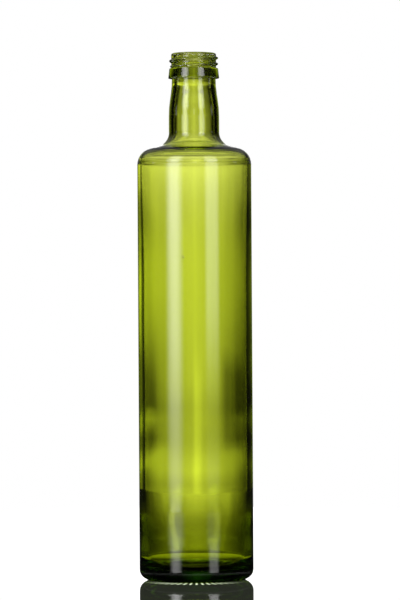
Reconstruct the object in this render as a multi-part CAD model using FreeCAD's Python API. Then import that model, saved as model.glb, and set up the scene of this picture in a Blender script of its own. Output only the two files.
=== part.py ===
"""Tall round glass oil bottle with a screw mouth: one piece of glass, open at the top.

Millimetres. +Z is the bottle's axis, and the origin is the centre of its base on the
surface that it stands on. The profile is a half section, radius against height, turned
once round the axis. The screw thread and the knurled foot are added to that solid.
"""
import FreeCAD, Part
import math
import os

# Whole bottle
HEIGHT = 319.0
BODY_DIAMETER = 69.0
BODY_WALL = 3.4

# Shoulder
SHOULDER_SLOPE = 17.0       # degrees below level
SHOULDER_WALL = 3.4
SHOULDER_RADIUS = 10.0      # outside corner between shoulder and body

# Neck, from the underside of the collar down to the start of its flare
NECK_DIAMETER = 30.5
NECK_WALL = 3.1
NECK_LENGTH = 32.9
NECK_TOP_LENGTH = 5.0       # the narrow stretch under the collar
NECK_TAPER_LENGTH = 13.0
NECK_TAPER_RADIUS = 60.0    # eases the taper into the stretches above and below it
NECK_ROOT_RADIUS = 8.0      # flare of the neck into the shoulder

# Mouth: a screw thread over a collar that a cap's security band grips
MOUTH_HEIGHT = 8.9          # from the top of the collar to the lip
MOUTH_DIAMETER = 27.3       # the thread's root
MOUTH_WALL = 2.6
LIP_RADIUS = 1.2
LIP_INNER_RADIUS = 0.8
COLLAR_HEIGHT = 6.4
COLLAR_STEP = 1.15          # its top edge stands this far outside the thread's root
COLLAR_FLARE = 0.55         # and its sharp lower edge this much further
COLLAR_CHAMFER = 0.5
COLLAR_EDGE_RADIUS = 0.3
COLLAR_UNDERCUT = 0.35      # the neck under the collar is this far inside the thread's root

# Thread, right-handed
THREAD_PITCH = 3.58
THREAD_DEPTH = 1.2
THREAD_CREST_WIDTH = 0.8
THREAD_ROOT_WIDTH = 2.5
THREAD_TURNS = 1.75
THREAD_END_ANGLE = 70.0     # where the upper end lies, anticlockwise from +X
THREAD_END_DROP = 2.3       # of the upper end's crest below the lip
THREAD_FADE_ANGLE = 45.0    # over which each end sinks into the wall
THREAD_EMBED = 0.5          # how far the thread's foot reaches into the wall
THREAD_SECTIONS_PER_TURN = 24

# Base
HEEL_RADIUS = 6.0
FOOT_RING_WIDTH = 0.9       # level ring between the heel and the punt
FOOT_RING_ROUND = 3.0
PUNT_HEIGHT = 7.0           # the hollow underneath, at its middle
BASE_WALL = 5.3             # at the middle
FLOOR_CROWN = 5.4           # rise of the floor from its lowest ring to its middle
FLOOR_CORNER_RADIUS = 8.0

# Knurls: short bars under the foot ring
KNURL_SPACING = 3.11        # along the ring, as near as a whole number of them allows
KNURL_HEIGHT = 0.5
KNURL_EMBED = 0.5
KNURL_LENGTH = 2.0          # along the radius, at the foot
KNURL_WIDTH = 0.9           # at the foot
KNURL_FLARE = 0.9           # how much longer and wider it is where it meets the ring

# Worked out from the values above
BODY_RADIUS = BODY_DIAMETER / 2
BODY_BORE = BODY_RADIUS - BODY_WALL
NECK_RADIUS = NECK_DIAMETER / 2
NECK_BORE = NECK_RADIUS - NECK_WALL
MOUTH_RADIUS = MOUTH_DIAMETER / 2
MOUTH_BORE = MOUTH_RADIUS - MOUTH_WALL
NECK_TOP_RADIUS = MOUTH_RADIUS - COLLAR_UNDERCUT
COLLAR_RADIUS = MOUTH_RADIUS + COLLAR_STEP
COLLAR_TOP = HEIGHT - MOUTH_HEIGHT
COLLAR_BOTTOM = COLLAR_TOP - COLLAR_HEIGHT
TAPER_TOP = COLLAR_BOTTOM - NECK_TOP_LENGTH
TAPER_BOTTOM = TAPER_TOP - NECK_TAPER_LENGTH
FLARE_TOP = COLLAR_BOTTOM - NECK_LENGTH
FOOT_RING_RADIUS = BODY_RADIUS - HEEL_RADIUS - FOOT_RING_WIDTH
FLOOR_TOP = PUNT_HEIGHT + BASE_WALL
FLOOR_LOW = FLOOR_TOP - FLOOR_CROWN
AXIS = FreeCAD.Vector(0, 0, 1)


def point(radius, height):
    return FreeCAD.Vector(radius, 0, height)


def arc(centre, radius, start, end):
    """The arc about centre (radius, height) from angle start to angle end, in radians."""
    def at(angle):
        return point(centre[0] + radius * math.cos(angle), centre[1] + radius * math.sin(angle))
    return Part.Arc(at(start), at((start + end) / 2), at(end)).toShape()


def rounded_path(corners):
    """Straight edges through corners (radius, height, rounding), each corner eased by an arc.

    A rounding gives way where the shorter of its two sides has no room for it.
    """
    edges = []
    here = point(*corners[0][:2])
    for before, corner, after in zip(corners, corners[1:], corners[2:]):
        tip = point(*corner[:2])
        back = point(*before[:2]) - tip
        ahead = point(*after[:2]) - tip
        half_angle = back.getAngle(ahead) / 2
        room = min(back.Length, ahead.Length) * 0.98
        rounding = min(corner[2], room * math.tan(half_angle))
        reach = rounding / math.tan(half_angle)
        to_middle = rounding / math.sin(half_angle) - rounding
        back.normalize()
        ahead.normalize()
        inward = back + ahead
        inward.normalize()
        start, end = tip + back * reach, tip + ahead * reach
        edges.append(Part.LineSegment(here, start).toShape())
        edges.append(Part.Arc(start, tip + inward * to_middle, end).toShape())
        here = end
    edges.append(Part.LineSegment(here, point(*corners[-1][:2])).toShape())
    return edges


def crown(top, rim_radius, rim_height, rounding, last):
    """A low dome on the axis and the hollow rounding round its rim, up to the angle last."""
    rise = top - rim_height
    dome_radius = (rim_radius ** 2 / rise - 2 * rounding + rise) / 2
    dome_centre = (0, top - dome_radius)
    rim_centre = (rim_radius, rim_height + rounding)
    meeting = math.atan2(rim_centre[1] - dome_centre[1], rim_centre[0])
    return [
        arc(dome_centre, dome_radius, math.pi / 2, meeting),
        arc(rim_centre, rounding, meeting + math.pi, last),
    ]


def shoulder_height(radius, wall=0):
    """Height of the shoulder's cone at a radius: its outside, or the face wall below it."""
    slope = math.radians(SHOULDER_SLOPE)
    flare_reach = NECK_ROOT_RADIUS * math.tan((math.pi / 2 - slope) / 2)
    top = FLARE_TOP - flare_reach
    return top - (radius - NECK_RADIUS) * math.tan(slope) - wall / math.cos(slope)


def outside():
    """From under the foot ring, up the outside and over the lip to the bore."""
    return [
        (FOOT_RING_RADIUS, KNURL_HEIGHT, 0),
        (BODY_RADIUS, KNURL_HEIGHT, HEEL_RADIUS),
        (BODY_RADIUS, shoulder_height(BODY_RADIUS), SHOULDER_RADIUS),
        (NECK_RADIUS, shoulder_height(NECK_RADIUS), NECK_ROOT_RADIUS),
        (NECK_RADIUS, TAPER_BOTTOM, NECK_TAPER_RADIUS),
        (NECK_TOP_RADIUS, TAPER_TOP, NECK_TAPER_RADIUS),
        (NECK_TOP_RADIUS, COLLAR_BOTTOM, COLLAR_EDGE_RADIUS),
        (COLLAR_RADIUS + COLLAR_FLARE, COLLAR_BOTTOM, COLLAR_EDGE_RADIUS),
        (COLLAR_RADIUS, COLLAR_TOP - COLLAR_CHAMFER, COLLAR_CHAMFER / 2),
        (MOUTH_RADIUS, COLLAR_TOP, COLLAR_CHAMFER / 2),
        (MOUTH_RADIUS, HEIGHT, LIP_RADIUS),
    ]


def inside():
    """From the lip down the bore and the body's inner wall to the corner of the floor."""
    return [
        (MOUTH_BORE, HEIGHT, LIP_INNER_RADIUS),
        (MOUTH_BORE, TAPER_TOP, NECK_TAPER_RADIUS),
        (NECK_BORE, TAPER_BOTTOM, NECK_TAPER_RADIUS),
        (NECK_BORE, shoulder_height(NECK_BORE, SHOULDER_WALL), NECK_ROOT_RADIUS + NECK_WALL),
        (BODY_BORE, shoulder_height(BODY_BORE, SHOULDER_WALL), SHOULDER_RADIUS - BODY_WALL),
        (BODY_BORE, FLOOR_LOW + FLOOR_CORNER_RADIUS, 0),
    ]


def blown_glass():
    """The plain bottle: the half section turned round the axis."""
    level, upright = 1.5 * math.pi, 2 * math.pi
    floor_rim = BODY_BORE - FLOOR_CORNER_RADIUS
    punt = crown(PUNT_HEIGHT, FOOT_RING_RADIUS, KNURL_HEIGHT, FOOT_RING_ROUND, level)
    floor = crown(FLOOR_TOP, floor_rim, FLOOR_LOW, FLOOR_CORNER_RADIUS, upright)
    middle = Part.LineSegment(point(0, PUNT_HEIGHT), point(0, FLOOR_TOP)).toShape()
    edges = punt + rounded_path(outside() + inside()) + floor + [middle]
    outline = Part.Wire(Part.__sortEdges__(edges))
    return Part.Face(outline).revolve(point(0, 0), AXIS, 360)


def thread():
    """A ridge that climbs anticlockwise round the mouth, sinking into the wall at both ends."""
    turned = 360 * THREAD_TURNS
    count = round(THREAD_SECTIONS_PER_TURN * THREAD_TURNS)
    end_height = HEIGHT - THREAD_END_DROP
    foot = MOUTH_RADIUS - THREAD_EMBED
    flank = (THREAD_ROOT_WIDTH - THREAD_CREST_WIDTH) / 2 / THREAD_DEPTH
    sections = []
    for index in range(count + 1):
        angle = turned * index / count
        to_end = min(angle, turned - angle)
        share = math.sin(math.radians(90 * min(1, to_end / THREAD_FADE_ANGLE)))
        rise = THREAD_EMBED / 2 + (THREAD_DEPTH + THREAD_EMBED / 2) * share
        middle = end_height - THREAD_PITCH * (turned - angle) / 360
        half_foot = THREAD_CREST_WIDTH / 2 + flank * rise
        section = Part.makePolygon([
            point(foot, middle - half_foot),
            point(foot + rise, middle - THREAD_CREST_WIDTH / 2),
            point(foot + rise, middle + THREAD_CREST_WIDTH / 2),
            point(foot, middle + half_foot),
            point(foot, middle - half_foot),
        ])
        section.rotate(point(0, 0), AXIS, THREAD_END_ANGLE - turned + angle)
        sections.append(section)
    return Part.makeLoft(sections, True, False)


def rectangle(inner, outer, half_width, height):
    """A level rectangle across the +X radius."""
    corners = [(inner, -half_width), (outer, -half_width), (outer, half_width), (inner, half_width)]
    return Part.makePolygon([FreeCAD.Vector(r, t, height) for r, t in corners + corners[:1]])


def knurls():
    """Short flat-footed bars, evenly spaced round the foot ring, that the bottle stands on."""
    top = KNURL_HEIGHT + KNURL_EMBED
    flare = KNURL_FLARE / 2 * top / KNURL_HEIGHT
    outer = FOOT_RING_RADIUS + KNURL_LENGTH
    half = KNURL_WIDTH / 2
    foot = rectangle(FOOT_RING_RADIUS, outer, half, 0)
    root = rectangle(FOOT_RING_RADIUS - flare, outer + flare, half + flare, top)
    count = round(math.pi * (FOOT_RING_RADIUS + outer) / KNURL_SPACING)
    bars = []
    for index in range(count):
        bar = Part.makeLoft([foot, root], True, True)
        bar.rotate(point(0, 0), AXIS, 360 * index / count)
        bars.append(bar)
    return bars


def bottle():
    return blown_glass().fuse([thread()] + knurls())


os.makedirs("parts", exist_ok=True)
bottle().exportStep("parts/bottle.step")
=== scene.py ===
"""The looks of a tall green glass oil bottle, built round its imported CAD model.

Metres, in the CAD model's own frame: +Z is the bottle's axis, and the origin is the centre of
its base on the surface that it stands on.
"""
import math

import bpy
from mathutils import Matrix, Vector


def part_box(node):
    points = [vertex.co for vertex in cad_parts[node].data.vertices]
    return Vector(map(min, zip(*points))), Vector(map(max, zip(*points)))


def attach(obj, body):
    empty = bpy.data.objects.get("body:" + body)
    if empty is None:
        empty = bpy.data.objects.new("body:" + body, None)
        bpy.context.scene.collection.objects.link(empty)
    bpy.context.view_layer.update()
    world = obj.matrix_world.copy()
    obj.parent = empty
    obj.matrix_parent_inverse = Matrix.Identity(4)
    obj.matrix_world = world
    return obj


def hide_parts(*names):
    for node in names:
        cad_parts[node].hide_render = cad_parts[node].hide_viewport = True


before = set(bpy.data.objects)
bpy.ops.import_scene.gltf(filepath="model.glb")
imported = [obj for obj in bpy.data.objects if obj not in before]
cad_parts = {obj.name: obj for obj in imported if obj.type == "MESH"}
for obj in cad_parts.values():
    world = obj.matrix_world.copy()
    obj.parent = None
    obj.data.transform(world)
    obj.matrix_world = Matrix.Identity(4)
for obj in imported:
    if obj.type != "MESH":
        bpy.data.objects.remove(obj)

bl_info = {
    "name": "Green Glass Oil Bottle",
    "version": (1, 0, 0),
    "blender": (4, 5, 0),
    "location": "View3D > Sidebar > Oil Bottle",
    "description": "Builds a tall screw-mouthed glass bottle and the stage that it stands on",
    "category": "Object",
}

MM = 0.001
TURN = 2 * math.pi
FRAME_LOW, FRAME_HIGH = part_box("bottle")

# Neck and mouth
NECK_LENGTH = 32.9 * MM
NECK_TOP_LENGTH = 5.0 * MM
NECK_TAPER_LENGTH = 13.0 * MM
NECK_TAPER_RADIUS = 60.0 * MM
NECK_BORE_TAPER_RADIUS = 24.0 * MM
NECK_ROOT_RADIUS = 8.0 * MM
SHOULDER_RADIUS = 10.0 * MM
MOUTH_HEIGHT = 8.9 * MM
LIP_RADIUS = 1.2 * MM
LIP_INNER_RADIUS = 0.8 * MM
COLLAR_HEIGHT = 6.4 * MM
COLLAR_STEP = 1.15 * MM
COLLAR_FLARE = 0.68 * MM
COLLAR_CHAMFER = 0.5 * MM
COLLAR_EDGE_RADIUS = 0.3 * MM
COLLAR_UNDERCUT = 0.35 * MM

# Screw thread. It fades over a part of a turn at each end, and rises only from glass that is
# at more than a share of its root's radius.
THREAD_END_DROP = 2.3 * MM
THREAD_CREST_WIDTH = 0.8 * MM
THREAD_ROOT_WIDTH = 2.5 * MM
THREAD_END_ANGLE = math.radians(70)
THREAD_FADE = 45 / 360
ON_MOUTH_SHARE = 0.97

# Base
FOOT_RING_WIDTH = 0.9 * MM
FOOT_RING_ROUND = 3.0 * MM
FLOOR_CROWN = 5.4 * MM
FLOOR_CORNER_RADIUS = 8.0 * MM

# A knurl's form, as shares of its width and length each side of its middle. It has its full
# depth up to the crest's share of its width and the flat's share of its length, and is gone
# at the end's share. It takes in glass up to so many times its height.
KNURL_CREST_SHARE = 0.25
KNURL_END_SHARE = 0.75
KNURL_FLAT_SHARE = 0.35
KNURL_REACH = 4

# Where the blown glass lies thick and thin, up the inner wall
HEEL_THICK_HEIGHT = 12 * MM
HEEL_THICK_REACH = 22 * MM
SHOULDER_THIN_HEIGHT = 256 * MM
SHOULDER_THIN_REACH = 42 * MM
WAVE_CREST_HEIGHT = 92 * MM
WAVE_CREST_REACH = 11 * MM
WAVE_TROUGH_HEIGHT = 64 * MM
WAVE_TROUGH_REACH = 9 * MM
WAVE_TROUGH_SHARE = 0.6

# Bands of height: of the shoulder's raised inner roof, and of the inner wall's ripples. Each
# end is a pair, where there is none yet and where it is full.
ROOF_FOOT = (238 * MM, 250 * MM)
ROOF_TOP = (285 * MM, 262 * MM)
RIPPLE_FOOT = (12 * MM, 50 * MM)
RIPPLE_TOP = (300 * MM, 270 * MM)
RIPPLE_SIZE = 42 * MM
RIPPLE_STRETCH = 0.7
RIPPLE_SEED = 7.0

# How finely the half section and its turning are divided. A small rounding gets the coarser
# arc, and each takes no more than a share of the sides beside it. Points on the axis, which
# are closer together than the merge distance, become one.
ARC_STEP = math.radians(12)
SMALL_ARC_STEP = math.radians(24)
SMALL_ROUNDING = 0.5 * MM
ROUNDING_ROOM = 0.98
DOME_STEP = math.radians(2.5)
RIM_STEP = math.radians(8)
WALL_STEP = 9.0 * MM
BORE_STEP = 6.0 * MM
END_STEP = 0.5 * MM
MOUTH_STEP = 0.24 * MM
FOOT_STEP = 0.4 * MM
COLUMNS_PER_KNURL = 6
POLE_MERGE = 0.001 * MM

# Glass: its waves and its finer skin as noise scales, the skin's height as a share of the
# waves', and one seed, whose height is so many times theirs
GLASS_IOR = 1.52
GLASS_BOUNCES = 20
GLASS_ROUGHNESS = 0.02
WAVE_SCALE = 45.0
SKIN_SCALE = 420.0
SKIN_SHARE = 0.05
SEED_PLACE = (-6.9 * MM, -33.8 * MM, 195.1 * MM)
SEED_RADIUS = 0.8 * MM
SEED_CREST_SHARE = 0.3
SEED_RISE = 24

# Painted shade on the thick glass of the mouth starts a drop below the collar, and is full a
# blend higher
MOUTH_SHADE_DROP = 2.1 * MM
MOUTH_SHADE_BLEND = 1.2 * MM

# Camera, looking level along +Y
CAMERA_PLACE = Vector((0.003, -2.0, 0.1694))
CAMERA_PITCH = math.radians(90)
CAMERA_ROLL = math.radians(0.34)
CAMERA_LENS = 198.0
CAMERA_SENSOR = 36.0


# ---------------------------------------------------------------- half section

def run(start, end, step):
    """Evenly spaced points from start up to but not including end.

    One more close to each end keeps the straight part flat when it is shaded smooth.
    """
    length = (end - start).length
    count = max(1, math.ceil(length / step))
    shares = [index / count for index in range(count)]
    if length > 4 * END_STEP:
        shares.insert(1, END_STEP / length)
        shares.append(1 - END_STEP / length)
    return [start.lerp(end, share) for share in shares]


def arc(centre, radius, start, end, step=ARC_STEP):
    """Points of the arc about centre from angle start to angle end, both included."""
    count = max(2, math.ceil(abs(end - start) / step))
    angles = [start + (end - start) * index / count for index in range(count + 1)]
    return [centre + radius * Vector((math.cos(a), math.sin(a))) for a in angles]


def rounded_path(corners):
    """Points along corners (radius, height, rounding, step), each corner eased by an arc.

    The step is the spacing on the side that leads away from the corner. A rounding gives
    way where the shorter of its two sides has no room for it.
    """
    points = []
    here, step = Vector(corners[0][:2]), corners[0][3]
    for before, corner, after in zip(corners, corners[1:], corners[2:]):
        tip = Vector(corner[:2])
        back, ahead = Vector(before[:2]) - tip, Vector(after[:2]) - tip
        half_angle = back.angle(ahead) / 2
        room = min(back.length, ahead.length) * ROUNDING_ROOM
        rounding = min(corner[2], room * math.tan(half_angle))
        reach = rounding / math.tan(half_angle)
        back.normalize()
        ahead.normalize()
        centre = tip + (back + ahead).normalized() * rounding / math.sin(half_angle)
        start, end = tip + back * reach, tip + ahead * reach
        first = math.atan2(*(start - centre).yx)
        last = math.atan2(*(end - centre).yx)
        turned = (last - first + math.pi) % TURN - math.pi
        fine = ARC_STEP if rounding > SMALL_ROUNDING else SMALL_ARC_STEP
        points += run(here, start, step) + arc(centre, rounding, first, first + turned, fine)[:-1]
        here, step = end, corner[3]
    return points + run(here, Vector(corners[-1][:2]), step) + [Vector(corners[-1][:2])]


def crown(top, rim_radius, rim_height, rounding, last):
    """A low dome on the axis and the hollow rounding round its rim, up to the angle last.

    The rounding ends level at three quarters of a turn, and upright at a whole turn.
    """
    rise = top - rim_height
    dome_radius = (rim_radius ** 2 / rise - 2 * rounding + rise) / 2
    dome_centre = Vector((0, top - dome_radius))
    rim_centre = Vector((rim_radius, rim_height + rounding))
    meeting = math.atan2(rim_centre.y - dome_centre.y, rim_centre.x)
    return (arc(dome_centre, dome_radius, math.pi / 2, meeting, DOME_STEP)
            + arc(rim_centre, rounding, meeting + math.pi, last, RIM_STEP)[1:])


def half_section(sizes):
    """The glass from the middle of the punt, over the lip and down to the middle of the floor.

    Returns the points, radius against height, and the index of the last one on the outside.
    """
    body = sizes.body_diameter / 2
    neck = sizes.neck_diameter / 2
    mouth = sizes.mouth_diameter / 2
    slope = sizes.shoulder_slope
    collar_top = sizes.height - MOUTH_HEIGHT
    collar_bottom = collar_top - COLLAR_HEIGHT
    taper_top = collar_bottom - NECK_TOP_LENGTH
    taper_bottom = taper_top - NECK_TAPER_LENGTH
    flare_reach = NECK_ROOT_RADIUS * math.tan((math.pi / 2 - slope) / 2)

    def shoulder(radius, wall=0.0):
        top = collar_bottom - NECK_LENGTH - flare_reach
        return top - (radius - neck) * math.tan(slope) - wall / math.cos(slope)

    ring = body - sizes.heel_radius - FOOT_RING_WIDTH
    ring_height = sizes.knurl_height
    bore = body - sizes.wall
    neck_bore = neck - sizes.neck_wall
    mouth_bore = mouth - sizes.mouth_wall
    collar = mouth + COLLAR_STEP
    floor_top = sizes.punt_height + sizes.base_wall
    floor_low = floor_top - FLOOR_CROWN

    path = rounded_path([
        (ring, ring_height, 0, FOOT_STEP),
        (body, ring_height, sizes.heel_radius, WALL_STEP * 3),
        (body, shoulder(body), SHOULDER_RADIUS, WALL_STEP),
        (neck, shoulder(neck), NECK_ROOT_RADIUS, WALL_STEP / 2),
        (neck, taper_bottom, NECK_TAPER_RADIUS, WALL_STEP / 2),
        (mouth - COLLAR_UNDERCUT, taper_top, NECK_TAPER_RADIUS, WALL_STEP / 2),
        (mouth - COLLAR_UNDERCUT, collar_bottom, COLLAR_EDGE_RADIUS, MOUTH_STEP * 2),
        (collar + COLLAR_FLARE, collar_bottom, COLLAR_EDGE_RADIUS, MOUTH_STEP * 4),
        (collar, collar_top - COLLAR_CHAMFER, COLLAR_CHAMFER / 2, MOUTH_STEP * 2),
        (mouth, collar_top, COLLAR_CHAMFER / 2, MOUTH_STEP),
        (mouth, sizes.height, LIP_RADIUS, MOUTH_STEP * 2),
        (mouth_bore, sizes.height, LIP_INNER_RADIUS, WALL_STEP / 2),
        (mouth - COLLAR_UNDERCUT - sizes.neck_wall, taper_top, NECK_BORE_TAPER_RADIUS,
         WALL_STEP / 2),
        (neck_bore, taper_bottom, NECK_TAPER_RADIUS, WALL_STEP / 2),
        (neck_bore, shoulder(neck_bore, sizes.wall), NECK_ROOT_RADIUS + sizes.neck_wall,
         WALL_STEP / 2),
        (bore, shoulder(bore, sizes.wall), SHOULDER_RADIUS - sizes.wall, BORE_STEP),
        (bore, floor_low + FLOOR_CORNER_RADIUS, 0, WALL_STEP),
    ])
    punt = crown(sizes.punt_height, ring, ring_height, FOOT_RING_ROUND, TURN * 3 / 4)
    floor = crown(floor_top, bore - FLOOR_CORNER_RADIUS, floor_low, FLOOR_CORNER_RADIUS, TURN)
    points = punt[:-1] + path[:-1] + floor[::-1]
    return points, max(range(len(points)), key=lambda index: points[index].y)


# ---------------------------------------------------------------- nodes

class Value:
    """A number in a node tree. Sums written with it become Math nodes."""

    def __init__(self, tree, source):
        self.tree = tree
        self.source = source

    def join(self, socket):
        """Feeds this number, from a node or plain, to a socket."""
        if isinstance(self.source, bpy.types.NodeSocket):
            self.tree.links.new(self.source, socket)
        else:
            socket.default_value = self.source

    def math(self, operation, *others):
        """What a Math node makes of this number and the others."""
        node = self.tree.nodes.new("ShaderNodeMath")
        node.operation = operation
        for socket, number in zip(node.inputs, (self, *others)):
            as_value(self.tree, number).join(socket)
        return Value(self.tree, node.outputs[0])

    def __add__(self, other):
        return self.math("ADD", other)

    def __radd__(self, other):
        return as_value(self.tree, other).math("ADD", self)

    def __sub__(self, other):
        return self.math("SUBTRACT", other)

    def __rsub__(self, other):
        return as_value(self.tree, other).math("SUBTRACT", self)

    def __mul__(self, other):
        return self.math("MULTIPLY", other)

    def __rmul__(self, other):
        return as_value(self.tree, other).math("MULTIPLY", self)

    def __truediv__(self, other):
        return self.math("DIVIDE", other)

    def __abs__(self):
        return self.math("ABSOLUTE")

    def ramp(self, stops):
        """The level that stops, {number: level}, give, straight from each to the next."""
        first, last = min(stops), max(stops)
        top = max(stops.values())
        node = self.tree.nodes.new("ShaderNodeValToRGB")
        ((self - first) / (last - first)).join(node.inputs[0])
        elements = node.color_ramp.elements
        while len(elements) < len(stops):
            elements.new(0.5)
        for element, stop in zip(elements, sorted(stops)):
            element.position = (stop - first) / (last - first)
            share = stops[stop] / top
            element.color = (share, share, share, 1)
        return Value(self.tree, node.outputs[0]) * top

    def step(self, start, end, low=0.0, high=1.0):
        """Eases from low to high while the number goes from start to end."""
        node = self.tree.nodes.new("ShaderNodeMapRange")
        node.interpolation_type = "SMOOTHSTEP"
        for socket, number in zip(node.inputs, (self, start, end, low, high)):
            as_value(self.tree, number).join(socket)
        return Value(self.tree, node.outputs[0])


def as_value(tree, number):
    """The number as it is if it is in the tree already, or else a plain one for the tree."""
    return number if isinstance(number, Value) else Value(tree, number)


def add(tree, kind, inputs=None, **settings):
    """A node of that kind, with its settings, and its inputs joined or set by name."""
    node = tree.nodes.new(kind)
    for name, setting in settings.items():
        setattr(node, name, setting)
    for name, given in (inputs or {}).items():
        socket = node.inputs[name]
        if isinstance(given, Value):
            given.join(socket)
        elif isinstance(given, bpy.types.NodeSocket):
            tree.links.new(given, socket)
        else:
            socket.default_value = given
    return node


def parts_of(tree, vector):
    """The three numbers of a vector socket."""
    node = add(tree, "ShaderNodeSeparateXYZ", {"Vector": vector})
    return [Value(tree, output) for output in node.outputs]


# ---------------------------------------------------------------- the glass

TREE_INPUTS = {
    "Columns": "NodeSocketInt",
    "Knurl Count": "NodeSocketInt",
    "Knurl Height": "NodeSocketFloat",
    "Knurl Radius": "NodeSocketFloat",
    "Knurl Length": "NodeSocketFloat",
    "Knurl Width": "NodeSocketFloat",
    "Thread Root": "NodeSocketFloat",
    "Thread Floor": "NodeSocketFloat",
    "Thread Top": "NodeSocketFloat",
    "Thread Pitch": "NodeSocketFloat",
    "Thread Depth": "NodeSocketFloat",
    "Thread Crest Width": "NodeSocketFloat",
    "Thread Root Width": "NodeSocketFloat",
    "Thread Turns": "NodeSocketFloat",
    "Thread End Angle": "NodeSocketFloat",
    "Thread Fade": "NodeSocketFloat",
    "Last Outer Row": "NodeSocketInt",
    "Bore": "NodeSocketFloat",
    "Heel Thickening": "NodeSocketFloat",
    "Shoulder Thinning": "NodeSocketFloat",
    "Settle Wave": "NodeSocketFloat",
    "Ripple Depth": "NodeSocketFloat",
    "Ripple Size": "NodeSocketFloat",
    "Ripple Seed": "NodeSocketFloat",
    "Glass": "NodeSocketMaterial",
}


def turning_tree():
    """Turns a half section round the axis, raises the screw thread on the mouth, draws down
    the knurls under the foot and leaves the inner wall slightly uneven."""
    tree = bpy.data.node_groups.new("bottle_turning", "GeometryNodeTree")
    tree.interface.new_socket("Half Section", in_out="INPUT", socket_type="NodeSocketGeometry")
    for name, kind in TREE_INPUTS.items():
        tree.interface.new_socket(name, in_out="INPUT", socket_type=kind)
    tree.interface.new_socket("Geometry", in_out="OUTPUT", socket_type="NodeSocketGeometry")
    given = tree.nodes.new("NodeGroupInput").outputs

    def number(name):
        return Value(tree, given[name])

    section = given["Half Section"]
    size = add(tree, "GeometryNodeAttributeDomainSize", {"Geometry": section})
    rows = Value(tree, size.outputs["Point Count"])
    grid = add(tree, "GeometryNodeMeshGrid", {
        "Vertices X": number("Columns") + 1, "Vertices Y": rows})
    index = Value(tree, tree.nodes.new("GeometryNodeInputIndex").outputs[0])
    column = (index / rows).math("FLOOR")
    row = index - column * rows
    sample = add(tree, "GeometryNodeSampleIndex", {
        "Geometry": section,
        "Value": tree.nodes.new("GeometryNodeInputPosition").outputs[0],
        "Index": row,
    }, data_type="FLOAT_VECTOR")
    radius, _, height = parts_of(tree, sample.outputs[0])
    angle = column / number("Columns") * TURN
    inner = row.math("GREATER_THAN", number("Last Outer Row"))

    # Screw thread: how far along it this angle lies, on the turn that is nearest in height
    start = number("Thread End Angle") / TURN - number("Thread Turns")
    part_turn = (angle / TURN - start).math("FRACT")
    bottom = number("Thread Top") - number("Thread Pitch") * number("Thread Turns")
    whole_turns = ((height - bottom) / number("Thread Pitch") - part_turn).math("ROUND")
    turned = part_turn + whole_turns.math("MAXIMUM", 0)
    crest = bottom + number("Thread Pitch") * turned
    profile = abs(height - crest).step(
        number("Thread Root Width") / 2, number("Thread Crest Width") / 4)
    to_end = turned.math("MINIMUM", number("Thread Turns") - turned)
    fade = to_end.step(0, number("Thread Fade"))
    on_mouth = (height.math("GREATER_THAN", number("Thread Floor"))
                * (1 - inner)
                * radius.math("GREATER_THAN", number("Thread Root") * ON_MOUTH_SHARE))
    thread = number("Thread Depth") * profile * fade * on_mouth

    # Inner wall: thin under the shoulder, a wave low on the body, thick above the base
    def swell(middle, reach):
        share = (height - middle) / reach
        return (share * share * -1).math("EXPONENT")

    thickening = (number("Heel Thickening") * swell(HEEL_THICK_HEIGHT, HEEL_THICK_REACH)
                  - number("Shoulder Thinning") * swell(SHOULDER_THIN_HEIGHT, SHOULDER_THIN_REACH)
                  + number("Settle Wave") * swell(WAVE_CREST_HEIGHT, WAVE_CREST_REACH)
                  - number("Settle Wave") * WAVE_TROUGH_SHARE
                  * swell(WAVE_TROUGH_HEIGHT, WAVE_TROUGH_REACH))

    # Uneven inner wall
    noise = add(tree, "ShaderNodeTexNoise", {
        "Vector": add(tree, "ShaderNodeCombineXYZ", {
            "X": radius * angle.math("COSINE") / number("Ripple Size"),
            "Y": radius * angle.math("SINE") / number("Ripple Size"),
            "Z": height / number("Ripple Size") * RIPPLE_STRETCH,
        }).outputs[0],
        "W": number("Ripple Seed"), "Scale": 1.0, "Detail": 1.0,
    }, noise_dimensions="4D")
    uneven = ((Value(tree, noise.outputs[0]) - 0.5) * 2 * number("Ripple Depth")
              * height.step(*RIPPLE_FOOT) * height.step(*RIPPLE_TOP))
    on_bore = inner * radius / number("Bore")
    new_radius = radius + thread + (uneven - thickening) * on_bore

    # Knurls, drawn down to the surface that the bottle stands on
    knurl_turn = (angle * number("Knurl Count") / TURN + 0.5).math("FRACT") - 0.5
    aside = abs(knurl_turn) * TURN * radius / number("Knurl Count")
    along = abs(radius - number("Knurl Radius"))
    knurl = (aside.step(number("Knurl Width"), number("Knurl Width") * KNURL_CREST_SHARE)
             * along.step(number("Knurl Length") * KNURL_END_SHARE,
                          number("Knurl Length") * KNURL_FLAT_SHARE)
             * height.math("LESS_THAN", number("Knurl Height") * KNURL_REACH) * (1 - inner))
    roof = number("Shoulder Thinning") * height.step(*ROOF_FOOT) * height.step(*ROOF_TOP)
    new_height = height * (1 - knurl) + roof * inner

    place = add(tree, "ShaderNodeCombineXYZ", {
        "X": new_radius * angle.math("COSINE"),
        "Y": new_radius * angle.math("SINE"),
        "Z": new_height,
    })
    turned_mesh = add(tree, "GeometryNodeSetPosition", {
        "Geometry": grid.outputs["Mesh"], "Position": place.outputs[0]})
    closed = add(tree, "GeometryNodeMergeByDistance", {
        "Geometry": turned_mesh.outputs[0], "Distance": POLE_MERGE})
    smooth = add(tree, "GeometryNodeSetShadeSmooth", {"Geometry": closed.outputs[0]})
    real = add(tree, "GeometryNodeRealizeInstances", {"Geometry": smooth.outputs[0]})
    glazed = add(tree, "GeometryNodeSetMaterial", {
        "Geometry": real.outputs[0], "Material": given["Glass"]})
    out = tree.nodes.new("NodeGroupOutput")
    tree.links.new(glazed.outputs[0], out.inputs["Geometry"])
    return tree


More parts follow.
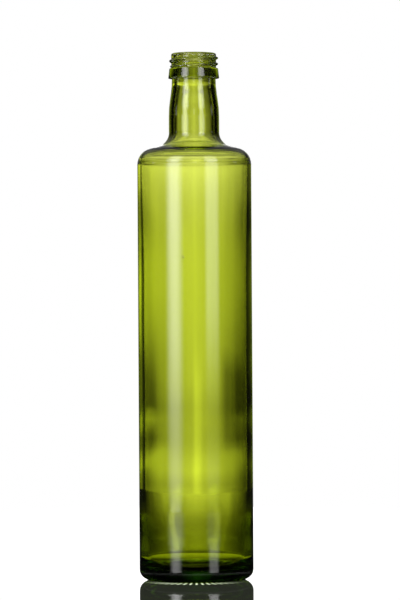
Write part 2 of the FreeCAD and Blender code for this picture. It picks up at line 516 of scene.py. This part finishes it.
def grey(tree, level):
    """The grey of that level, as a colour socket."""
    return add(tree, "ShaderNodeCombineColor", {
        "Red": level, "Green": level, "Blue": level}).outputs[0]


def glass_material(finish, mouth_foot):
    """Yellow-olive glass: clear, with its colour in its thickness, and faintly wavy outside.

    It has one small seed. Above mouth_foot, where the glass is thick, its base colour is darker,
    as painted shade.
    """
    material = bpy.data.materials.new("olive_green_glass")
    material.use_nodes = True
    tree = material.node_tree
    tree.nodes.clear()
    out = tree.nodes.new("ShaderNodeOutputMaterial")
    where = tree.nodes.new("ShaderNodeTexCoord").outputs["Object"]
    wave = add(tree, "ShaderNodeTexNoise", {
        "Vector": where, "Scale": WAVE_SCALE, "Detail": 1.0})
    skin = add(tree, "ShaderNodeTexNoise", {
        "Vector": where, "Scale": SKIN_SCALE, "Detail": 2.0})
    off = add(tree, "ShaderNodeVectorMath", {0: where, 1: SEED_PLACE}, operation="DISTANCE")
    seed = Value(tree, off.outputs["Value"]).step(
        SEED_RADIUS, SEED_RADIUS * SEED_CREST_SHARE) * SEED_RISE
    height = Value(tree, wave.outputs[0]) + Value(tree, skin.outputs[0]) * SKIN_SHARE + seed
    bump = add(tree, "ShaderNodeBump", {
        "Height": height, "Strength": 1.0, "Distance": finish.waviness})
    # Painted shade: a darker base colour on the thick glass of the mouth, above mouth_foot
    mouth = parts_of(tree, where)[2].step(mouth_foot, mouth_foot + MOUTH_SHADE_BLEND)
    shader = add(tree, "ShaderNodeBsdfPrincipled", {
        "Base Color": grey(tree, 1 - mouth * finish.mouth_painted_shade),
        "Roughness": GLASS_ROUGHNESS,
        "IOR": GLASS_IOR,
        "Transmission Weight": 1.0,
        "Normal": bump.outputs[0],
    })
    volume = add(tree, "ShaderNodeVolumeAbsorption", {
        "Color": (*finish.colour, 1.0), "Density": finish.density})
    tree.links.new(shader.outputs[0], out.inputs["Surface"])
    tree.links.new(volume.outputs[0], out.inputs["Volume"])
    return material


def set_inputs(modifier, given):
    """Sets a node modifier's inputs by their names in its tree."""
    for item in modifier.node_group.interface.items_tree:
        if item.in_out == "INPUT" and item.name in given:
            modifier[item.identifier] = given[item.name]


def plain_mesh(builder, name):
    """What the builder's modifiers make, as a plain mesh object. The builder is removed."""
    graph = bpy.context.evaluated_depsgraph_get()
    mesh = bpy.data.meshes.new_from_object(builder.evaluated_get(graph))
    bpy.data.objects.remove(builder)
    mesh.name = name
    made = bpy.data.objects.new(name, mesh)
    bpy.context.scene.collection.objects.link(made)
    return made


class BottleSizes(bpy.types.PropertyGroup):
    height: bpy.props.FloatProperty(
        name="Height", description="From the surface it stands on to the lip",
        default=FRAME_HIGH.z, unit="LENGTH")
    body_diameter: bpy.props.FloatProperty(
        name="Body Diameter", description="Across the outside of the body",
        default=FRAME_HIGH.x - FRAME_LOW.x, unit="LENGTH")
    wall: bpy.props.FloatProperty(
        name="Wall", description="Thickness of the body and shoulder",
        default=3.4 * MM, unit="LENGTH")
    shoulder_slope: bpy.props.FloatProperty(
        name="Shoulder Slope", description="Fall of the shoulder below level",
        default=math.radians(17), subtype="ANGLE")
    neck_diameter: bpy.props.FloatProperty(
        name="Neck Diameter", description="Across the neck above the shoulder",
        default=30.5 * MM, unit="LENGTH")
    neck_wall: bpy.props.FloatProperty(
        name="Neck Wall", description="Thickness of the neck", default=3.1 * MM, unit="LENGTH")
    mouth_diameter: bpy.props.FloatProperty(
        name="Mouth Diameter", description="Across the root of the thread",
        default=27.3 * MM, unit="LENGTH")
    mouth_wall: bpy.props.FloatProperty(
        name="Mouth Wall", description="Thickness of the mouth",
        default=2.6 * MM, unit="LENGTH")
    heel_radius: bpy.props.FloatProperty(
        name="Heel Radius", description="Rounding between the body and the foot",
        default=6.0 * MM, unit="LENGTH")
    punt_height: bpy.props.FloatProperty(
        name="Punt Height", description="Hollow under the middle of the base",
        default=7.0 * MM, unit="LENGTH")
    base_wall: bpy.props.FloatProperty(
        name="Base Wall", description="Glass at the middle of the base",
        default=5.3 * MM, unit="LENGTH")
    knurl_height: bpy.props.FloatProperty(
        name="Knurl Height", description="Of the bars that the bottle stands on",
        default=0.5 * MM, unit="LENGTH")
    knurl_length: bpy.props.FloatProperty(
        name="Knurl Length", description="Of a bar, along the radius",
        default=2.0 * MM, unit="LENGTH")
    knurl_width: bpy.props.FloatProperty(
        name="Knurl Width", description="Of a bar, round the foot",
        default=0.9 * MM, unit="LENGTH")
    knurl_count: bpy.props.IntProperty(
        name="Knurls", description="Bars round the foot", default=58, min=3)
    thread_pitch: bpy.props.FloatProperty(
        name="Thread Pitch", description="Rise of the thread in one turn",
        default=3.58 * MM, unit="LENGTH")
    thread_depth: bpy.props.FloatProperty(
        name="Thread Depth", description="How far the thread stands out",
        default=1.2 * MM, unit="LENGTH")
    thread_turns: bpy.props.FloatProperty(
        name="Thread Turns", description="Length of the thread", default=1.75)
    heel_thickening: bpy.props.FloatProperty(
        name="Heel Thickening", description="Extra glass in the wall above the base",
        default=1.8 * MM, unit="LENGTH")
    shoulder_thinning: bpy.props.FloatProperty(
        name="Shoulder Thinning", description="Glass missing from the wall below the shoulder",
        default=1.1 * MM, unit="LENGTH")
    settle_wave: bpy.props.FloatProperty(
        name="Settle Wave", description="Height of the wave in the inner wall, low on the body",
        default=0.05 * MM, unit="LENGTH")
    ripple_depth: bpy.props.FloatProperty(
        name="Ripple Depth", description="Unevenness of the inner wall",
        default=0.12 * MM, unit="LENGTH")


class GlassFinish(bpy.types.PropertyGroup):
    colour: bpy.props.FloatVectorProperty(
        name="Colour", description="What the glass lets through",
        subtype="COLOR", size=3, default=(0.865, 0.916, 0.0), min=0, max=1)
    density: bpy.props.FloatProperty(
        name="Density", description="Depth of the colour, for each metre of glass",
        default=480.0, min=0)
    waviness: bpy.props.FloatProperty(
        name="Waviness", description="Height of the waves on its surface",
        default=0.012 * MM, unit="LENGTH")
    # Painted shade: how much darker the base colour of the thick mouth glass is
    mouth_painted_shade: bpy.props.FloatProperty(
        name="Mouth Shade", description="How much darker the thick glass of the mouth is",
        default=0.3, min=0, max=1)


class OILBOTTLE_OT_glass(bpy.types.Operator):
    """Builds the bottle in one piece of glass, in place of the plain CAD solid"""
    bl_idname = "oil_bottle.glass"
    bl_label = "Build the Bottle"

    def execute(self, context):
        sizes = context.scene.bottle_sizes
        points, last_outer = half_section(sizes)
        mesh = bpy.data.meshes.new("half_section")
        mesh.from_pydata([(p.x, 0.0, p.y) for p in points],
                         [(i, i + 1) for i in range(len(points) - 1)], [])
        builder = bpy.data.objects.new("half_section", mesh)
        context.scene.collection.objects.link(builder)
        modifier = builder.modifiers.new("turning", "NODES")
        modifier.node_group = turning_tree()
        ring = sizes.body_diameter / 2 - sizes.heel_radius - FOOT_RING_WIDTH
        # Foot of the painted shade on the mouth glass
        mouth_foot = sizes.height - MOUTH_HEIGHT - COLLAR_HEIGHT - MOUTH_SHADE_DROP
        set_inputs(modifier, {
            "Columns": sizes.knurl_count * COLUMNS_PER_KNURL,
            "Knurl Count": sizes.knurl_count,
            "Knurl Height": sizes.knurl_height,
            "Knurl Radius": ring + sizes.knurl_length / 2,
            "Knurl Length": sizes.knurl_length,
            "Knurl Width": sizes.knurl_width,
            "Thread Root": sizes.mouth_diameter / 2,
            "Thread Floor": sizes.height - MOUTH_HEIGHT + COLLAR_EDGE_RADIUS,
            "Thread Top": sizes.height - THREAD_END_DROP,
            "Thread Pitch": sizes.thread_pitch,
            "Thread Depth": sizes.thread_depth,
            "Thread Crest Width": THREAD_CREST_WIDTH,
            "Thread Root Width": THREAD_ROOT_WIDTH,
            "Thread Turns": sizes.thread_turns,
            "Thread End Angle": THREAD_END_ANGLE,
            "Thread Fade": THREAD_FADE,
            "Last Outer Row": last_outer,
            "Bore": sizes.body_diameter / 2 - sizes.wall,
            "Heel Thickening": sizes.heel_thickening,
            "Shoulder Thinning": sizes.shoulder_thinning,
            "Settle Wave": sizes.settle_wave,
            "Ripple Depth": sizes.ripple_depth,
            "Ripple Size": RIPPLE_SIZE,
            "Ripple Seed": RIPPLE_SEED,
            "Glass": glass_material(context.scene.glass_finish, mouth_foot),
        })
        bottle = plain_mesh(builder, "bottle_glass")
        if not bottle.data.polygons:
            raise RuntimeError("the turning tree made no mesh")
        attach(bottle, "root")
        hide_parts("bottle")
        return {"FINISHED"}


# ---------------------------------------------------------------- the stage

# The studio is light by direction. Angles are in degrees: the height above level, and the
# bearing round the bottle, from straight behind it or from straight before it. Each ramp
# gives the level at an angle.
DEGREE = math.pi / 180
QUARTER = 90
BACKDROP_ACROSS = {
    -38: 0.03, -32: 0.3, -25: 1.1, -20: 1.1, -13: 0.8, -7: 0.68, -3.7: 0.7, -1.4: 0.74,
    -0.8: 0.84, 0: 0.88, 0.7: 0.84, 1.1: 0.78, 1.8: 0.74, 2.5: 0.7, 3.5: 0.58,
    6: 0.47, 11: 0.3, 18: 0.14, 38: 0.03}
BACKDROP_MIDDLE = {
    -5.5: 0.5, -4.8: 0.98, -4: 0.9, -3.7: 0.8, -3: 1.05, -2.6: 0.94, -2.1: 0.7,
    -1.4: 0.95, 0: 1.0, 1.2: 1.16, 1.7: 1.28, 2.2: 1.2, 3: 0.87, 4.5: 0.82, 6: 0.8,
    7.5: 0.75, 9.5: 0.65, 10.5: 0.35, 16: 0.3, 19: 0.6, 24: 0.8, 28: 0.5, 36: 1.0,
    40: 0.8, 44: 0.3}
BACKDROP_SIDES = {
    -5.5: 0.06, -4.8: 0.6, -3.7: 0.48, -3: 0.8, -2.45: 0.95, -2.1: 0.14,
    -1.4: 0.22, -0.7: 0.6, 0: 1.0, 1.1: 1.12, 1.7: 1.4, 2.2: 1.3, 2.8: 0.55,
    3.8: 0.5, 5: 0.4, 7: 0.45, 8.4: 0.5, 9: 0.75, 10.5: 0.7, 12: 0.2, 21: 0.25,
    28: 0.1, 36: 0.6}
BACKDROP_DENT = {-2.5: 0, -2.2: 0.5, -1.3: 0.5, -0.8: 0}
BACKDROP_FOOT_LEVEL = 0.9

# A soft box: the bearing of its middle, half its width, how soft its sides are, and its
# level at each height
LEFT_BOX = (-42, 13, 9, {
    -16: 0.5, -13: 2.0, -11: 10.0, -7: 14.0, -5.4: 14.0, -4.6: 8.5, -4: 5.0, -3.4: 2.4,
    -3: 3.2, -2.6: 2.8, -2: 3.4, -1.4: 4.4, -0.7: 5.8, 0: 6.2, 1.4: 7.4, 2.4: 7.4,
    3: 5.8, 9: 5.8, 12: 8.2, 20: 8.2, 26: 5.8, 35: 5.8, 50: 0})
RIGHT_BOX = (35.5, 13, 5, {
    -16: 0.5, -11: 2.0, -7: 4.0, -5.4: 4.0, -4.6: 1.6, -4: 0.2, -3.4: 0.2, -3: 0.8,
    -2.6: 0.35, -2.1: 0.15, -1.4: 0.6, -0.7: 2.0, 0: 3.2, 1.4: 3.9, 3.2: 4.2,
    3.7: 1.2, 4.2: 1.5, 4.4: 4.2, 9: 4.2, 12: 6.2, 20: 6.2, 26: 3.2, 35: 3.2, 50: 0})
WALL_ACROSS = {0: 1.05, 3: 1, 4.8: 0.74, 6.5: 0.52, 10: 0.3, 16: 0.16, 26: 0.06, 45: 0}

# The ceiling, from none to full, the least that gloss sees, and the light on plain surfaces
CEILING_FOOT = (12, 28)
CEILING_LEVEL = 0.25
DARKEST = 0.01
PLAIN_LEVEL = 1.0

# How much of the boxes and the ceiling shows through the glass, beside the backdrop
BOXES_THROUGH = 0.12
CEILING_THROUGH = 0.05

# The table. Each ramp gives a level at a distance from the bottle's axis, in metres: of the
# painted shade on the pale top as the glass shows it, at a low and at a high glance, and of the
# painted shade on the gloss where the glass mirrors it and where the glass lets it through.
PAINTED_SHADE_LOW = {0.045: 0.01, 0.065: 0.1, 0.105: 0.14, 0.14: 0.02, 0.2: 0.03, 0.35: 0.16, 0.7: 0.4}
PAINTED_SHADE_HIGH = {0.038: 0.01, 0.05: 0.3, 0.062: 0.5, 0.12: 0.85, 0.16: 0.92}
GLOSS_SHADE_MIRRORED = {0.2: 0.56, 0.33: 0.52, 0.5: 0.38, 0.75: 0.28}
GLOSS_SHADE_THROUGH = {0.05: 0.05, 0.07: 0.35, 0.17: 0.3, 0.3: 0.3, 0.43: 0.42, 0.7: 0.6}
TABLE_PALE = 0.92
TABLE_GLOW = 0.09
TABLE_ROUGHNESS = 0.03
TABLE_SIDES = 96
# Colour of a faint painted glow over the mirror image, which the camera sees
MIRROR_GLOW_COLOUR = (0.021, 0.024, 0.017, 1)
WHITE = (1, 1, 1, 1)

# How far the table is turned from the eye, from 0, straight on, to 1, edge on: where it turns
# glossy, where a glance in the glass is low, and where it is steep, where painted shade darkens
# the pale top by a share beyond a distance from the axis. Each is a pair, from none to full.
GLOSSY_TURN = (0.78, 0.9)
LOW_TURN = (0.745, 0.77)
STEEP_TURN = (0.48, 0.36)
STEEP_AWAY = (0.22, 0.3)
STEEP_SHADE = 0.85

# The painted spots of light on the table between the knurls, on a ring under the foot. The lit
# arc's middle and ends are in radians round the foot, from straight in front.
SPOT_BRIGHTNESS = 45
SPOT_EDGE = (0.1, 0.9)
SPOT_RING_RADIUS = 32 * MM
SPOT_RING_EDGE = (6 * MM, 3 * MM)
SPOT_ARC_MIDDLE = -0.1
SPOT_ARC_EDGE = (1.1, 0.3)


def backdrop_level(height, quarter):
    """A bright backdrop with dark flags beside it, seen through the glass."""
    middle = height.ramp(BACKDROP_MIDDLE)
    sides = height.ramp(BACKDROP_SIDES)
    aside = abs(quarter).step(0.5, 9)
    # A bright gap low in the middle, and a dim patch low on one side
    gap = abs(quarter - 0.1).step(0.6, 0.1) * height.step(-0.7, -2) * 0.3
    dent = quarter.step(2, 4) * height.ramp(BACKDROP_DENT)
    # The flags close in above and below level, and two bright bands stand a little above it
    narrow = (height.step(2.2, 2.9) * abs(quarter).step(9, 17) * 0.95
              + height.step(-2.3, -3.2) * abs(quarter).step(7, 17) * 0.5)
    edges = (abs(quarter + 4.7).step(2.5, 1) + abs(quarter - 4).step(2.5, 1)
             ) * height.step(2.5, 3.1) * height.step(6, 5) * 0.6
    below = height.step(-9.5, -11.5)
    backdrop = quarter.ramp(BACKDROP_ACROSS) * (
        middle * (1 + gap) * (1 - aside) + sides * aside)
    return (backdrop * (1 - dent) * (1 - narrow) * (1 + edges) * (1 - below)
            + below * BACKDROP_FOOT_LEVEL)


def soft_boxes_level(height, before):
    """Two tall soft boxes in front, narrower at their feet and again a little above level."""
    narrowing = 1 + (height.step(-3, -4.2)
                     + height.step(4.15, 4.5) * height.step(12, 8)) * 0.45

    def soft_box(centre, half, soft, levels):
        aim = abs(before - centre) * narrowing
        return aim.step(half + soft, half - soft) * height.ramp(levels)

    return soft_box(*LEFT_BOX) + soft_box(*RIGHT_BOX)


def slits_level(height, behind):
    """Two bright upright slits in the low wall and the ceiling."""
    spread = behind * height.step(8, 4.4, 1, 1.3)
    return (abs(spread + 3.4).step(0.9, 0.3) * 1.2 + abs(spread - 2.8).step(0.8, 0.2) * 0.6
            ) * height.step(4.5, 8)


def low_wall_level(height, behind, quarter, slits):
    """A low wall behind the table, which gloss mirrors."""
    glow = abs(behind).step(1.8, 0.4) * height.step(12, 5) * 0.4
    wall = (height.step(2.9, 3.5) * height.step(25, 12) * (1 + slits + glow)
            * abs(behind).ramp(WALL_ACROSS))
    return wall.math("MAXIMUM", height.step(3.2, 3.6) * height.step(12, 8)
                     * abs(quarter).step(6, 4.5))


def studio_world():
    """White behind, as the camera sees it. Glass and gloss see a studio: the backdrop, the
    two soft boxes, a low wall and a dim ceiling."""
    world = bpy.data.worlds.new("studio")
    world.use_nodes = True
    tree = world.node_tree
    tree.nodes.clear()
    where = tree.nodes.new("ShaderNodeTexCoord").outputs["Generated"]
    x, y, z = parts_of(tree, where)
    height = z.math("ARCSINE") / DEGREE
    behind = x.math("ARCTAN2", y) / DEGREE
    before = x.math("ARCTAN2", y * -1) / DEGREE
    # The backdrop is repeated at every quarter, so that each side of the bottle has one behind
    quarter = (behind + QUARTER / 2).math("FLOORED_MODULO", QUARTER) - QUARTER / 2

    backdrop = backdrop_level(height, quarter)
    boxes = soft_boxes_level(height, before)
    ceiling = height.step(*CEILING_FOOT)
    slits = slits_level(height, behind)
    low_wall = low_wall_level(height, behind, quarter, slits)

    rays = tree.nodes.new("ShaderNodeLightPath").outputs
    first_bounce = Value(tree, rays["Glossy Depth"]).math("LESS_THAN", 1.5)
    seen_in_gloss = DARKEST + boxes + (ceiling * CEILING_LEVEL * (1 + slits)).math(
        "MAXIMUM", low_wall * first_bounce)
    seen_through = backdrop + boxes * BOXES_THROUGH + ceiling * CEILING_THROUGH

    camera, glossy = Value(tree, rays["Is Camera Ray"]), Value(tree, rays["Is Glossy Ray"])
    through = Value(tree, rays["Is Transmission Ray"])
    studio = seen_in_gloss * (1 - through) + seen_through * through
    level = PLAIN_LEVEL * (1 - glossy) + studio * glossy
    level = level * (1 - camera) + camera
    shade = add(tree, "ShaderNodeBackground", {"Color": WHITE, "Strength": level})
    out = tree.nodes.new("ShaderNodeOutputWorld")
    tree.links.new(shade.outputs[0], out.inputs["Surface"])
    return world


def floor_material(knurl_count):
    """A pale table top, glossy at a low glance, with painted shade where the glass shows it, a
    faint painted glow over its mirror image, and painted spots of light between the knurls.
    """
    material = bpy.data.materials.new("pale_table")
    material.use_nodes = True
    tree = material.node_tree
    tree.nodes.clear()
    rays = tree.nodes.new("ShaderNodeLightPath").outputs
    camera, glossy = Value(tree, rays["Is Camera Ray"]), Value(tree, rays["Is Glossy Ray"])
    through = Value(tree, rays["Is Transmission Ray"])
    facing = Value(tree, tree.nodes.new("ShaderNodeLayerWeight").outputs["Facing"])
    x, y, _ = parts_of(tree, tree.nodes.new("ShaderNodeTexCoord").outputs["Object"])
    away = (x * x + y * y).math("SQRT")
    glance = facing.step(*GLOSSY_TURN)

    # The pale top, with painted shade where the glass shows it: dark close to the bottle, darker
    # at a low glance, and far out from nearly above.
    low = facing.step(*LOW_TURN)
    steep = facing.step(*STEEP_TURN) * away.step(*STEEP_AWAY)
    painted_shade_level = (away.ramp(PAINTED_SHADE_LOW) * low
            + away.ramp(PAINTED_SHADE_HIGH) * (1 - low) * (1 - steep * STEEP_SHADE))
    pale = add(tree, "ShaderNodeBsdfDiffuse", {
        "Color": grey(tree, TABLE_PALE * (1 - glossy) + painted_shade_level * glossy)})
    glow = add(tree, "ShaderNodeEmission", {"Color": WHITE, "Strength": camera * TABLE_GLOW})
    top = add(tree, "ShaderNodeAddShader")
    tree.links.new(pale.outputs[0], top.inputs[0])
    tree.links.new(glow.outputs[0], top.inputs[1])

    # The gloss, with painted shade by distance from the bottle: dimmer in the glass than where
    # the camera sees it
    mirrored_gloss_shade = away.ramp(GLOSS_SHADE_MIRRORED)
    through_gloss_shade = away.ramp(GLOSS_SHADE_THROUGH)
    gloss = add(tree, "ShaderNodeBsdfGlossy", {
        "Color": grey(tree, 1 - through * (1 - through_gloss_shade) - (glossy - through) * (1 - mirrored_gloss_shade)),
        "Roughness": TABLE_ROUGHNESS})

    # Painted spots of light on the table between the knurls, and a faint painted glow over the
    # mirror image
    round_foot = x.math("ARCTAN2", y * -1)
    painted_spots = ((round_foot * knurl_count).math("COSINE").step(*SPOT_EDGE)
             * abs(away - SPOT_RING_RADIUS).step(*SPOT_RING_EDGE)
             * abs(round_foot - SPOT_ARC_MIDDLE).step(*SPOT_ARC_EDGE))
    painted_glow = add(tree, "ShaderNodeEmission", {
        "Color": MIRROR_GLOW_COLOUR, "Strength": camera * (1 + painted_spots * SPOT_BRIGHTNESS)})
    gloss_and_glow = add(tree, "ShaderNodeAddShader")
    tree.links.new(gloss.outputs[0], gloss_and_glow.inputs[0])
    tree.links.new(painted_glow.outputs[0], gloss_and_glow.inputs[1])
    mix = add(tree, "ShaderNodeMixShader", {"Fac": glance})
    tree.links.new(top.outputs[0], mix.inputs[1])
    tree.links.new(gloss_and_glow.outputs[0], mix.inputs[2])
    out = tree.nodes.new("ShaderNodeOutputMaterial")
    tree.links.new(mix.outputs[0], out.inputs["Surface"])
    return material


class StudioStage(bpy.types.PropertyGroup):
    table_radius: bpy.props.FloatProperty(
        name="Table Radius", description="Of the round table top", default=0.7, unit="LENGTH")


class OILBOTTLE_OT_stage(bpy.types.Operator):
    """Sets up the table, the studio light and the camera"""
    bl_idname = "oil_bottle.stage"
    bl_label = "Set Up the Stage"

    def execute(self, context):
        scene = context.scene
        radius = scene.studio_stage.table_radius
        mesh = bpy.data.meshes.new("table_top")
        rim = [(radius * math.cos(TURN * i / TABLE_SIDES),
                radius * math.sin(TURN * i / TABLE_SIDES), 0) for i in range(TABLE_SIDES)]
        mesh.from_pydata(rim, [], [tuple(range(TABLE_SIDES))])
        mesh.materials.append(floor_material(scene.bottle_sizes.knurl_count))
        table = bpy.data.objects.new("table_top", mesh)
        scene.collection.objects.link(table)
        scene.world = studio_world()
        camera = bpy.data.cameras.new("camera")
        camera.lens = CAMERA_LENS
        camera.sensor_width = CAMERA_SENSOR
        viewer = bpy.data.objects.new("camera", camera)
        viewer.location = CAMERA_PLACE
        viewer.rotation_euler = (CAMERA_PITCH, CAMERA_ROLL, 0)
        scene.collection.objects.link(viewer)
        scene.camera = viewer
        scene.view_settings.view_transform = "Standard"
        scene.cycles.max_bounces = GLASS_BOUNCES
        scene.cycles.transmission_bounces = GLASS_BOUNCES
        return {"FINISHED"}


class OILBOTTLE_PT_panel(bpy.types.Panel):
    bl_label = "Oil Bottle"
    bl_space_type = "VIEW_3D"
    bl_region_type = "UI"
    bl_category = "Oil Bottle"

    def draw(self, context):
        for group in PROPERTY_GROUPS:
            values = getattr(context.scene, group)
            for name in values.bl_rna.properties.keys():
                if name not in ("rna_type", "name"):
                    self.layout.prop(values, name)
        for operator in OPERATORS:
            self.layout.operator(operator.bl_idname)


OPERATORS = (OILBOTTLE_OT_stage, OILBOTTLE_OT_glass)
PROPERTY_GROUPS = {
    "bottle_sizes": BottleSizes,
    "glass_finish": GlassFinish,
    "studio_stage": StudioStage,
}


def register():
    for group in PROPERTY_GROUPS.values():
        bpy.utils.register_class(group)
    for name, group in PROPERTY_GROUPS.items():
        setattr(bpy.types.Scene, name, bpy.props.PointerProperty(type=group))
    for made in OPERATORS + (OILBOTTLE_PT_panel,):
        bpy.utils.register_class(made)


def unregister():
    for made in OPERATORS + (OILBOTTLE_PT_panel,):
        bpy.utils.unregister_class(made)
    for name, group in PROPERTY_GROUPS.items():
        delattr(bpy.types.Scene, name)
        bpy.utils.unregister_class(group)


def main():
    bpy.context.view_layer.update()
    register()
    bpy.ops.oil_bottle.stage()
    bpy.ops.oil_bottle.glass()


if __name__ == "__main__":
    main()
